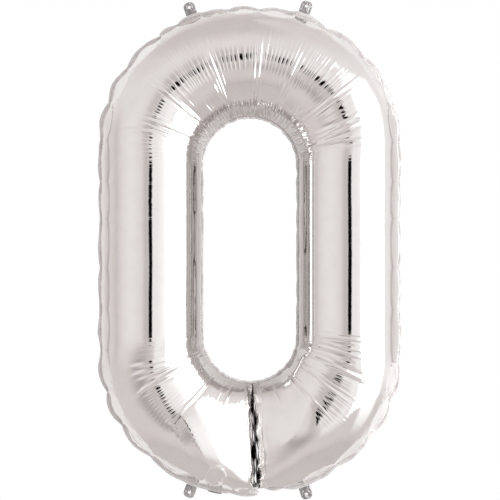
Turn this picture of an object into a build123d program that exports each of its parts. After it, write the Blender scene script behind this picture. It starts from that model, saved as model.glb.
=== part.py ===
from build123d import *
import math
import os

# Foil number balloon in the shape of a nought: a flat ring of two film panels, welded along
# the outer outline, along the edge of the counter (the hole in the middle) and across the
# bottom of the ring, then blown up through a self-sealing valve.
#
# Millimetres. +Z is up, the front faces -Y, and the origin is the middle of the counter, in
# the plane of the welds. Real film is about 0.04 mm thick: FILM is a stand-in thick enough
# to mesh and to collide.

# --- outline: straight legs, elliptical ends outside, round ends inside -------------------
OUTER_WIDTH = 538.0  # rim edge to rim edge, along X
OUTER_HEIGHT = 864.0  # rim edge to rim edge, along Z
OUTER_END_RISE = 242.0  # the elliptical end's height above the straight of the outer rim
COUNTER_WIDTH = 160.0  # rim edge to rim edge, along X
COUNTER_HEIGHT = 458.0  # rim edge to rim edge, along Z
RIM = 5.0  # flat welded rim that stands out beyond the tube, on both edges

# --- inflated tube, front to back ---------------------------------------------------------
LEG_DEPTH = 165.0
END_DEPTH = 154.0  # less, because a tube that bends can't fill as far

# --- film ----------------------------------------------------------------------------------
FILM = 0.5  # one foil panel
VALVE_FILM = 0.2  # one film of the valve
WELD_LAP = 1.5  # how far a welded rim reaches in under the edge of a panel

# --- closing weld, across the bottom of the ring -------------------------------------------
CLOSING_LEAN = 2.8  # degrees from straight down, seen from the counter's end, to the right
CLOSING_GAP = 6.0  # between the two blunt ends of the tube

# --- hanging tabs ----------------------------------------------------------------------------
TAB_LEFT_X = -102.0  # the roots of the two left tabs
TAB_RIGHT_X = 95.0  # the roots of the two right tabs
TAB_WIDTH = 20.0
TAB_LENGTH = 22.0
TAB_HOLE_R = 2.5
TAB_HOLE_AT = 13.0  # root to the hole's centre
TAB_TIP_R = 8.0  # rounding of the tip's corners
FOLD_GAP = 0.6  # left free at a fold line, so that a flap can swing

# --- inflation tail and its valve --------------------------------------------------------------
TAIL_X = -62.0  # the tail's root
TAIL_WIDTH = 26.0
TAIL_LENGTH = 45.0
TAIL_CLEAR = 0.8  # left free between the rim edge and the folded tail
VALVE_WIDTH = 20.0  # the passage between the tail's side welds
VALVE_INSIDE = 90.0  # how far the valve reaches into the tube
VALVE_SET_BACK = 10.0  # the valve's inlet lies this far inside the tail's mouth

# --- worked out from the sizes above -------------------------------------------------------------
OUTER_R = OUTER_WIDTH / 2
OUTER_SPRING = OUTER_HEIGHT / 2 - OUTER_END_RISE  # where the outer rim starts to bend
COUNTER_R = COUNTER_WIDTH / 2
COUNTER_SPRING = COUNTER_HEIGHT / 2 - COUNTER_R  # where the counter's edge starts to bend
SKIN_NEAR = COUNTER_R + RIM  # the tube's inner weld, from the middle of the counter
LEG_CHORD = OUTER_R - RIM - SKIN_NEAR
END_CHORD = (OUTER_HEIGHT - COUNTER_HEIGHT) / 2 - 2 * RIM
TAIL_HALF = FILM + VALVE_FILM  # half the thickness of the folded tail
CLEAR = 4 * LEG_DEPTH  # safely past the object, for cutting
END_STATIONS = 20  # spans of the loft round each end


def outline(straight_half, half_width, end_rise):
    """A flat upright outline: straight sides up to straight_half, and an elliptical end on each."""
    sides = Rectangle(2 * half_width, 2 * straight_half)
    ends = Ellipse(half_width, end_rise)
    shape = sides + Pos(0, straight_half) * ends + Pos(0, -straight_half) * ends
    return Plane.XZ * shape


def outer_outline(inset):
    """The outer rim's edge, moved in towards the tube by inset."""
    return outline(OUTER_SPRING, OUTER_R - inset, OUTER_END_RISE - inset)


def counter_outline(inset):
    """The counter's edge, moved out towards the tube by inset."""
    return outline(COUNTER_SPRING, COUNTER_R + inset, COUNTER_R + inset)


def reach(angle):
    """How far the tube's outer weld is from the counter's end centre, at an angle above the X axis."""
    across, up = math.cos(angle), math.sin(angle)
    width, rise = OUTER_R - RIM, OUTER_END_RISE - RIM
    lift = OUTER_SPRING - COUNTER_SPRING
    if width * up <= lift * across:
        return width / across
    squared = (across / width) ** 2 + (up / rise) ** 2
    linear = up * lift / rise**2
    constant = (lift / rise) ** 2 - 1
    return (linear + math.sqrt(linear**2 - squared * constant)) / squared


def half_lens(far, skin):
    """The front half of the tube's section between its two welds, filled, less a skin's thickness.

    X is the distance from the middle of the counter's end, and Y the depth.
    """
    chord = far - SKIN_NEAR
    bend = (chord - LEG_CHORD) / (END_CHORD - LEG_CHORD)
    bulge = (LEG_DEPTH + bend * (END_DEPTH - LEG_DEPTH)) / 2
    radius = ((chord / 2) ** 2 + bulge**2) / (2 * bulge)
    disc = Pos(SKIN_NEAR + chord / 2, radius - bulge) * Circle(radius - skin)
    front = Pos(SKIN_NEAR + chord / 2, -FILM - CLEAR / 2) * Rectangle(CLEAR, CLEAR)
    return disc & front


def station(step, skin):
    """The tube's section at one of the loft's stations round the upper end."""
    angle = math.pi * step / END_STATIONS
    place = Location((0, 0, COUNTER_SPRING), (0, -math.degrees(angle), 0))
    return place * half_lens(reach(min(angle, math.pi - angle)), skin)


def tube(skin):
    """The front half of the whole ring, filled, less a skin's thickness."""
    top = loft([station(step, skin) for step in range(END_STATIONS + 1)])
    leg = Pos(0, 0, -COUNTER_SPRING) * half_lens(OUTER_R - RIM, skin)
    leg = extrude(leg, 2 * COUNTER_SPRING, dir=(0, 0, 1))
    return top + leg + mirror(leg, Plane.YZ) + mirror(top, Plane.XY)


def closing_block(width, depth):
    """A block across the bottom of the ring, where the closing weld interrupts the tube."""
    place = Location((0, 0, -COUNTER_SPRING), (0, -CLOSING_LEAN, 0))
    return place * Pos(0, 0, -CLEAR / 2) * Box(width, depth, CLEAR)


def front_panel():
    """The front film: half the tube's skin, with an end wall on each side of the closing weld."""
    outside = tube(0) - closing_block(CLOSING_GAP, CLEAR)
    inside = tube(FILM) - closing_block(CLOSING_GAP + 2 * FILM, CLEAR)
    return outside - inside


def rim_place(x, side):
    """A point on the outer rim and the turn about Y that brings +Z to the outward direction.

    side is 1 for the upper end and -1 for the lower one.
    """
    rise = OUTER_END_RISE * math.sqrt(1 - (x / OUTER_R) ** 2)
    lean = math.atan2(x / OUTER_R**2, rise / OUTER_END_RISE**2)
    turn = math.degrees(lean) if side > 0 else 180 - math.degrees(lean)
    return Location((x, 0, side * (OUTER_SPRING + rise)), (0, turn, 0))


def hanging_tab(x, side):
    """A flat welded ear with a punched hole, standing straight out from the rim."""
    blank = Pos(0, FOLD_GAP + TAB_LENGTH / 2) * Rectangle(TAB_WIDTH, TAB_LENGTH)
    blank = fillet(blank.vertices().group_by(Axis.Y)[-1], TAB_TIP_R)
    punched = blank - Pos(0, TAB_HOLE_AT) * Circle(TAB_HOLE_R)
    return rim_place(x, side) * extrude(Plane.XZ * punched, FILM, both=True)


def valve_passage():
    """Where the outer weld stays open, so that the valve's two films can pass through it."""
    return rim_place(TAIL_X, -1) * Box(VALVE_WIDTH, 2 * VALVE_FILM, 2 * VALVE_INSIDE)


def valve_film(face):
    """One film of the valve inside the tube. face is -1 for the front film and 1 for the back."""
    length = RIM + VALVE_INSIDE
    strip = Pos(0, face * VALVE_FILM / 2, -length / 2) * Box(VALVE_WIDTH, VALVE_FILM, length)
    return rim_place(TAIL_X, -1) * strip


def tail_place():
    """The folded tail's own frame: X along the fold, Y towards the mouth, Z away from the tube."""
    return rim_place(TAIL_X, -1) * Pos(0, FOLD_GAP, TAIL_CLEAR + TAIL_HALF)


def tail_film(face):
    """One foil film of the tail, folded back behind the rim, with a lip along each side weld.

    face is 1 for the front film, which lies outermost when folded, and -1 for the back film.
    """
    block = Pos(0, TAIL_LENGTH / 2, face * TAIL_HALF / 2) * Box(TAIL_WIDTH, TAIL_LENGTH, TAIL_HALF)
    channel = Pos(0, TAIL_LENGTH / 2) * Box(VALVE_WIDTH, TAIL_LENGTH, 2 * VALVE_FILM)
    return tail_place() * (block - channel)


def valve_inlet(face):
    """One film of the valve inside the tail, from the fold to its inlet."""
    length = TAIL_LENGTH - VALVE_SET_BACK
    strip = Pos(0, length / 2, face * VALVE_FILM / 2) * Box(VALVE_WIDTH, length, VALVE_FILM)
    return tail_place() * strip


def outer_seam():
    """The welded rim round the outside, open where the valve passes through it."""
    band = extrude(outer_outline(0) - outer_outline(RIM + WELD_LAP), FILM, both=True)
    return band - valve_passage()


def inner_seam():
    """The welded rim round the counter."""
    return extrude(counter_outline(RIM + WELD_LAP) - counter_outline(0), FILM, both=True)


def closing_seam():
    """The flat weld across the bottom of the ring, between the outer and the inner rim."""
    between = outer_outline(RIM + WELD_LAP) - counter_outline(RIM + WELD_LAP)
    ring = extrude(between, CLEAR / 2, both=True)
    return ring & closing_block(CLOSING_GAP + 2 * WELD_LAP, 2 * FILM)


def build():
    """Every node by name."""
    front = front_panel()
    nodes = {
        "front_panel": front,
        "back_panel": mirror(front, Plane.XZ),
        "outer_seam": outer_seam(),
        "inner_seam": inner_seam(),
        "closing_seam": closing_seam(),
        "valve_front_film": valve_film(-1),
        "valve_back_film": valve_film(1),
        "tail_front_film": tail_film(1),
        "tail_back_film": tail_film(-1),
        "valve_front_inlet": valve_inlet(1),
        "valve_back_inlet": valve_inlet(-1),
    }
    for level, side in (("top", 1), ("bottom", -1)):
        for hand, x in (("left", TAB_LEFT_X), ("right", TAB_RIGHT_X)):
            nodes[f"hang_tab_{level}_{hand}"] = hanging_tab(x, side)
    return nodes


os.makedirs("parts", exist_ok=True)
for node_name, node_shape in build().items():
    export_step(node_shape, f"parts/{node_name}.step")
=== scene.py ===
"""A silver foil balloon in the shape of the digit nought, blown up tight, in metres.

The film can't stretch, so a ring that is cut flat and then blown up has too much film along its
outer weld and over its bends: it gathers there into pillows, pleats and creases. Each of those is
a formula on a grid that runs round the ring and across the film.
"""

import logging
import math
from dataclasses import dataclass
from enum import Enum

import bpy
import numpy as np
from numpy.typing import NDArray
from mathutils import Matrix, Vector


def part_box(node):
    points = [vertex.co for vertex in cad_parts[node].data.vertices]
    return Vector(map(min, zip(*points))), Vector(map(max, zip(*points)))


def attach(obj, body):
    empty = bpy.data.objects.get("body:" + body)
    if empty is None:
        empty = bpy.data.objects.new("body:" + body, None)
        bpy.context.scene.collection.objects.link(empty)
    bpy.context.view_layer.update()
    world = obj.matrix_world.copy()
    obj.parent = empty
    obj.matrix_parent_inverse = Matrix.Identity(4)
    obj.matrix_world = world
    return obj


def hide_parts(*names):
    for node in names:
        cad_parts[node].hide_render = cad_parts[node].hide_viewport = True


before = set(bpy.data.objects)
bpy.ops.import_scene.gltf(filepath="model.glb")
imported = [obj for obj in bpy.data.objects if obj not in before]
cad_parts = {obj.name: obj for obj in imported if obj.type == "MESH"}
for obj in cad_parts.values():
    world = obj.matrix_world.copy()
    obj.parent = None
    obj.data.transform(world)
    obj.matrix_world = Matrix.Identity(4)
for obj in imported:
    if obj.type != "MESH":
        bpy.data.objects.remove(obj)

Array = NDArray[np.float64]
Colour = tuple[float, float, float, float]

LOG = logging.getLogger("balloon")
MM = 0.001
DEG = math.pi / 180
GATHER = 0.6  # the power of a sine that gives a gathered pillow its outline


class Face(Enum):
    """The two faces of the balloon, by the sign of Y that they look towards."""

    FRONT = -1
    BACK = 1


class Weld(Enum):
    """The two welded edges of the film, by the sign of the coordinate across it."""

    INNER = -1
    OUTER = 1


# --- small tools ------------------------------------------------------------------------------


def smooth(x: Array, low: float, high: float) -> Array:
    """A step from 0 at low to 1 at high, with level ends: 3t^2 - 2t^3."""
    t = np.clip((x - low) / (high - low), 0.0, 1.0)
    return t * t * (3 - 2 * t)


def bell(x: Array, middle: float, width: float) -> Array:
    """A bump of height 1 at middle: exp(-((x - middle) / width)^2)."""
    return np.exp(-(((x - middle) / width) ** 2))


class Grain:
    """Seeded smooth noise between -1 and 1, from random values on a lattice.

    Between lattice points the values are blended with 3t^2 - 2t^3, so that the slope is level at
    each of them.
    """

    def __init__(self, seed: int) -> None:
        """Start a new sequence of random values.

        Args:
            seed: fixes the sequence.
        """
        self.random = np.random.default_rng(seed)

    def line(self, x: Array, step: float) -> Array:
        """Noise along one coordinate.

        Args:
            x: where to read it.
            step: the distance between lattice points.

        Returns:
            An array of the shape of x.
        """
        t = (x - x.min()) / step
        knots = self.random.uniform(-1, 1, int(t.max()) + 3)
        i = t.astype(int)
        f = t - i
        f = f * f * (3 - 2 * f)
        return knots[i] * (1 - f) + knots[i + 1] * f

    def field(self, x: Array, y: Array, step_x: float, step_y: float) -> Array:
        """Noise over two coordinates.

        Args:
            x: first coordinate.
            y: second coordinate, of the same shape.
            step_x: lattice distance along x.
            step_y: lattice distance along y.

        Returns:
            An array of the shape of x.
        """
        s, t = (x - x.min()) / step_x, (y - y.min()) / step_y
        knots = self.random.uniform(-1, 1, (int(s.max()) + 3, int(t.max()) + 3))
        i, j = s.astype(int), t.astype(int)
        f, g = s - i, t - j
        f, g = f * f * (3 - 2 * f), g * g * (3 - 2 * g)
        near = knots[i, j] * (1 - g) + knots[i, j + 1] * g
        far = knots[i + 1, j] * (1 - g) + knots[i + 1, j + 1] * g
        return near * (1 - f) + far * f


def unit(vectors: Array) -> Array:
    """The same vectors at length 1, along the last axis."""
    return vectors / np.maximum(np.linalg.norm(vectors, axis=-1, keepdims=True), 1e-12)


def grid_faces(
    rows: int, columns: int, closed_rows: bool = False, closed_columns: bool = False
) -> NDArray[np.int64]:
    """The quads of a grid whose points are numbered row by row.

    Args:
        rows: points along the first direction.
        columns: points along the second direction.
        closed_rows: whether the last row joins the first.
        closed_columns: whether the last column joins the first.

    Returns:
        An array of four indices for each quad.
    """
    number = np.arange(rows * columns).reshape(rows, columns)
    if closed_rows:
        number = np.vstack([number, number[:1]])
    if closed_columns:
        number = np.hstack([number, number[:, :1]])
    corners = (number[:-1, :-1], number[1:, :-1], number[1:, 1:], number[:-1, 1:])
    return np.stack([corner.ravel() for corner in corners], axis=1)


def add_piece(name: str, points: Array, *faces: NDArray[np.int64]) -> bpy.types.Object:
    """Make a smooth-shaded mesh object at the origin.

    Args:
        name: the piece's name.
        points: one row of three coordinates for each vertex.
        faces: arrays with one row of vertex indices for each face.

    Returns:
        The new object, linked to the scene.
    """
    sizes = np.concatenate([np.full(len(block), block.shape[1]) for block in faces])
    corners = np.concatenate([block.ravel() for block in faces])
    mesh = bpy.data.meshes.new(name)
    mesh.vertices.add(len(points))
    mesh.vertices.foreach_set("co", points.astype(np.float32).ravel())
    mesh.loops.add(len(corners))
    mesh.loops.foreach_set("vertex_index", corners.astype(np.int32))
    mesh.polygons.add(len(sizes))
    mesh.polygons.foreach_set("loop_start", (np.cumsum(sizes) - sizes).astype(np.int32))
    mesh.polygons.foreach_set("use_smooth", np.ones(len(sizes), dtype=bool))
    mesh.update(calc_edges=True)
    mesh.validate()
    piece = bpy.data.objects.new(name, mesh)
    bpy.context.scene.collection.objects.link(piece)
    LOG.info("%s: %d points, %d faces", name, len(points), len(sizes))
    return piece


# --- the ring ---------------------------------------------------------------------------------


@dataclass
class Ring:
    """The balloon's plan: two straight legs, round ends on the counter, elliptical ends outside.

    A path runs once round the ring: from the closing weld at the bottom, up the right leg, over
    the top and down the left leg. It is measured at the radius path_radius in the bends. Across
    the film, v goes from -1 at the inner weld to 1 at the outer weld.
    """

    rim: float = 5.0 * MM
    weld_lap: float = 1.5 * MM
    end_rise: float = 242.0 * MM
    end_depth: float = 154.0 * MM
    path_radius: float = 182.0 * MM
    closing_lean: float = 2.8 * DEG
    crown_shift: float = 12.0 * MM
    fine_low: float = 32.0 * MM
    fine_high: float = 96.0 * MM
    fine_share: float = 0.45

    def __post_init__(self) -> None:
        """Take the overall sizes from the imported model."""
        outer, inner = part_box("outer_seam"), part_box("inner_seam")
        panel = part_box("front_panel")
        self.weld_width = outer[1][0] - self.rim
        self.weld_height = outer[1][2] - self.rim
        self.rise = self.end_rise - self.rim
        self.outer_spring = self.weld_height - self.rise
        self.near = inner[1][0] - self.weld_lap
        self.spring = inner[1][2] - inner[1][0]
        self.leg_bulge = -panel[0][1]
        self.end_bulge = self.end_depth / 2
        self.leg_chord = self.weld_width - self.near
        self.end_chord = self.weld_height - self.spring - self.near
        quarter = self.path_radius * (math.pi / 2 - self.closing_lean)
        self.right_leg = quarter
        self.top = self.right_leg + 2 * self.spring
        self.left_leg = self.top + self.path_radius * math.pi
        self.last_bend = self.left_leg + 2 * self.spring
        self.length = self.last_bend + self.path_radius * (math.pi / 2 + self.closing_lean)

    def path_of(self, angle: float) -> float:
        """The path coordinate of a direction in the bends.

        Args:
            angle: degrees from +X towards +Z; 0 to 180 is the top bend, and -87 to 0 and 180
                to 272 are the two halves of the bottom bend.

        Returns:
            The path coordinate.
        """
        if angle < 0:
            return self.right_leg + self.path_radius * angle * DEG
        if angle <= 180:
            return self.top + self.path_radius * angle * DEG
        return self.last_bend + self.path_radius * (angle - 180) * DEG

    def path_of_height(self, side: int, height: float) -> float:
        """The path coordinate of a height on a leg.

        Args:
            side: 1 for the right leg, -1 for the left.
            height: the height above the middle of the counter.

        Returns:
            The path coordinate.
        """
        if side > 0:
            return self.right_leg + self.spring + height
        return self.left_leg + self.spring - height

    def heading(self, path: Array) -> tuple[Array, Array]:
        """Where a path coordinate is.

        Args:
            path: path coordinates.

        Returns:
            The direction across the film, as an angle from +X, and the height of the point that
            it starts from on the Z axis.
        """
        turned = path / self.path_radius
        first = turned - self.right_leg / self.path_radius
        over = (path - self.top) / self.path_radius
        last = math.pi + (path - self.last_bend) / self.path_radius
        zero = np.zeros_like(path)
        angle = np.select(
            [path < self.right_leg, path < self.top, path < self.left_leg, path < self.last_bend],
            [first, zero, over, zero + math.pi],
            last,
        )
        height = np.select(
            [path < self.right_leg, path < self.top, path < self.left_leg, path < self.last_bend],
            [
                zero - self.spring,
                path - self.right_leg - self.spring,
                zero + self.spring,
                self.spring - (path - self.left_leg),
            ],
            -self.spring,
        )
        return angle, height

    def steepness(self, path: Array) -> Array:
        """How far a direction is from level: 0 on the legs, a quarter turn in radians at the top."""
        angle, _ = self.heading(path)
        return np.arcsin(np.clip(np.abs(np.sin(angle)), 0, 1))

    def reach(self, path: Array) -> Array:
        """The distance from the middle line to the outer weld.

        In the bends it is where a ray from the end's centre meets the ellipse: the larger root
        of (d cos / width)^2 + ((d sin - lift) / rise)^2 = 1. Below the ellipse it is the ray's
        crossing with the straight side.

        Args:
            path: path coordinates.

        Returns:
            An array of the shape of path.
        """
        steep = self.steepness(path)
        across, up = np.cos(steep), np.sin(steep)
        lift = self.outer_spring - self.spring
        squared = (across / self.weld_width) ** 2 + (up / self.rise) ** 2
        linear = up * lift / self.rise**2
        constant = (lift / self.rise) ** 2 - 1
        ellipse = (linear + np.sqrt(linear**2 - squared * constant)) / squared
        straight = self.weld_width / np.maximum(across, 1e-9)
        return np.where(self.weld_width * up <= lift * across, straight, ellipse)

    def from_closing(self, path: Array) -> Array:
        """The distance along the path to the closing weld, whichever way is shorter."""
        return np.minimum(path, self.length - path)

    def on_left(self, path: Array) -> Array:
        """1 on the left half of the ring, 0 elsewhere."""
        return (path > self.length / 2).astype(float)

    def on_right(self, path: Array) -> Array:
        """1 on the right half of the ring, 0 elsewhere."""
        return (path < self.length / 2).astype(float)

    def stations(self, bend_step: float, leg_step: float, multiple: int = 1) -> Array:
        """Path coordinates round the whole ring, closer together at the ends of the legs.

        Args:
            bend_step: the angle between stations in the bends, in radians.
            leg_step: the distance between stations on the legs.
            multiple: each run has a multiple of this many steps.

        Returns:
            The coordinates in order, from 0 to the ring's length.
        """
        low, high = self.fine_low, self.fine_high
        bend, end = bend_step * self.path_radius, self.fine_share * leg_step
        runs = []
        plan = (
            (0.0, self.right_leg, bend),
            (self.right_leg, self.right_leg + low, end),
            (self.right_leg + low, self.top - high, leg_step),
            (self.top - high, self.top, end),
            (self.top, self.left_leg, bend),
            (self.left_leg, self.left_leg + high, end),
            (self.left_leg + high, self.last_bend - low, leg_step),
            (self.last_bend - low, self.last_bend, end),
            (self.last_bend, self.length, bend),
        )
        for start, stop, step in plan:
            count = multiple * max(1, round((stop - start) / step / multiple))
            runs.append(np.linspace(start, stop, count, endpoint=False))
        return np.concatenate([*runs, [self.length]])

    def at(self, path: Array, distance: Array, depth: Array) -> Array:
        """The point at a distance from the middle line and a depth along Y.

        Args:
            path: path coordinates.
            distance: distances from the middle line.
            depth: distances along Y.

        Returns:
            The points, with their coordinates along the last axis.
        """
        angle, height = self.heading(path)
        x = distance * np.cos(angle)
        z = height + distance * np.sin(angle)
        return np.stack([x, depth, z], axis=-1)


@dataclass(frozen=True)
class Crease:
    """A sharp crease across the tube, from start to end in v, by its direction in degrees.

    shift moves it along the path, and lean moves its two ends apart along the path.
    """

    angle: float
    depth: float = 1.2 * MM
    start: float = -0.95
    end: float = 0.28
    width: float = 1.5 * MM
    lean: float = 0.0
    shift: float = 0.0


def fanned(creases: tuple[Crease, ...], seed: int) -> tuple[Crease, ...]:
    """The same creases, with fainter strands beside the deep ones.

    Args:
        creases: the creases to start from.
        seed: fixes where the strands lie.

    Returns:
        All creases, strands included.
    """
    random = np.random.default_rng(seed)
    strands = []
    for crease in creases:
        for side in (-1, 1) if crease.depth > 1.1 * MM else ():
            shift = crease.shift + side * random.uniform(3.0, 8.5) * MM
            depth = crease.depth * random.uniform(0.30, 0.60)
            start = crease.start + random.uniform(0, 0.35)
            end = crease.end - random.uniform(-0.12, 0.30)
            lean = crease.lean + side * random.uniform(-3.5, 6.0) * MM
            strands.append(Crease(crease.angle, depth, start, end, 1.1 * MM, lean, shift))
    return (*creases, *strands)


def leg_end_creases(seed: int, count: int = 7) -> tuple[Crease, ...]:
    """Crossing creases over the crown where each bend starts to pull on its leg.

    Args:
        seed: fixes where they lie.
        count: how many there are at each end of a leg.

    Returns:
        The creases at all four ends.
    """
    random = np.random.default_rng(seed)
    creases = []
    for angle in (-20.0, 20.5, 159.5, 201.0):
        for _ in range(count):
            start, end = random.uniform(-0.98, -0.45), random.uniform(0.08, 0.50)
            depth, lean = random.uniform(0.5, 1.8) * MM, random.uniform(-27, 27) * MM
            shift = random.uniform(-22, 18) * MM
            creases.append(Crease(angle, depth, start, end, 2.0 * MM, lean, shift))
    return tuple(creases)


@dataclass(frozen=True)
class Fold:
    """A straight fold in the plan of one face, from one point (x, z) to another."""

    start: tuple[float, float]
    end: tuple[float, float]
    depth: float = 2.0 * MM
    width: float = 6.0 * MM


@dataclass
class Seamwork:
    """What both faces share: where the outer weld is pinched, and how the welds wander.

    The outer weld is too long for the ring that it has shrunk to, so it gathers into pillows. A
    pinch is where two pillows meet: the weld is drawn in there. Each pillow's outline between
    two pinches is sin(pi t)^0.6, which is round in the middle and sharp at the pinches.
    """

    ring: Ring
    pinches: tuple[float, ...] = (
        -77.5, -69.9, -56.8, -39.8, -24.0, -11.0,
        9.0, 22.3, 30.7, 43.0, 61.0, 73.3, 86.8, 98.0, 108.0, 117.4, 124.7, 141.6, 156.2, 170.0,
        186.0, 202.0, 215.0, 230.8, 250.8, 263.0,
    )
    leg_pinches: tuple[float, ...] = (-0.105, -0.03, 0.055, 0.12)
    notch: float = 5.6 * MM
    held: tuple[float, ...] = (-70.4, 70.4, 111.1, 248.9, 257.4)
    held_half: float = 13.0 * MM

    def __post_init__(self) -> None:
        """Put all pinches in order along the path, with the closing weld at both ends."""
        legs = [self.ring.path_of_height(side, z) for side in (1, -1) for z in self.leg_pinches]
        bends = [self.ring.path_of(angle) for angle in self.pinches]
        self.marks = np.array(sorted([0.0, *bends, *legs, self.ring.length]))
        grain = Grain(11)
        self.wander = grain.random.uniform(-1, 1, len(self.marks))
        self.swell = grain.random.uniform(0.8, 1.15, len(self.marks))

    def pillow(self, path: Array) -> tuple[Array, Array, Array]:
        """Which pillow a path coordinate is in.

        Args:
            path: path coordinates.

        Returns:
            The pillow's outline height from 0 at a pinch to 1, its span along the outer weld,
            and its own size factor.
        """
        i = np.clip(np.searchsorted(self.marks, path, side="right") - 1, 0, len(self.marks) - 2)
        low, high = self.marks[i], self.marks[i + 1]
        t = np.clip((path - low) / (high - low), 0, 1)
        in_bend = self.ring.steepness(path) > 1e-6
        stretch = np.where(in_bend, self.ring.reach(path) / self.ring.path_radius, 1)
        return np.sin(math.pi * t) ** GATHER, (high - low) * stretch, self.swell[i]

    def steady(self, path: Array) -> Array:
        """Where the weld is flat and full because a tab or the tail grows from it: 1 there."""
        places = [self.ring.path_of(angle) for angle in self.held]
        return np.clip(sum(bell(path, place, self.held_half) for place in places) * 1.5, 0, 1)

    def looseness(self, path: Array) -> Array:
        """How much spare film the outer weld has: 1 in the bends and less on the legs."""
        return 0.42 + 0.58 * smooth(self.ring.steepness(path), 0.0, 25 * DEG)

    def offsets(self, path: Array, weld: Weld) -> tuple[Array, Array]:
        """How far a weld strays from its plan line.

        Beside the closing weld the outer weld bulges by 5 mm on the left and is drawn in by
        13 mm on the right.

        Args:
            path: path coordinates.
            weld: which of the two welds.

        Returns:
            The offset outwards, away from the counter, and the offset along Y.
        """
        grain = Grain(23 if weld is Weld.OUTER else 24)
        if weld is Weld.INNER:
            return 0.5 * MM * grain.line(path, 17 * MM), 0.9 * MM * grain.line(path, 26 * MM)
        height, span, _ = self.pillow(path)
        loose = self.looseness(path)
        out = -self.notch * loose * (1 - height ** (1 / GATHER)) * np.clip(span / (60 * MM), 0.5, 1.2)
        nodding = np.interp(path, self.marks, self.wander)
        depth = 2.6 * MM * loose * nodding + 0.8 * MM * grain.line(path, 21 * MM)
        left = self.ring.length - path
        out = out + 5 * MM * np.exp(-left / (70 * MM))
        out = out - 13 * MM * np.exp(-((path / (17 * MM)) ** 1.5))
        free = 1 - self.steady(path)
        return out * free, depth * free * smooth(self.ring.from_closing(path), 0, 30 * MM)


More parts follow.
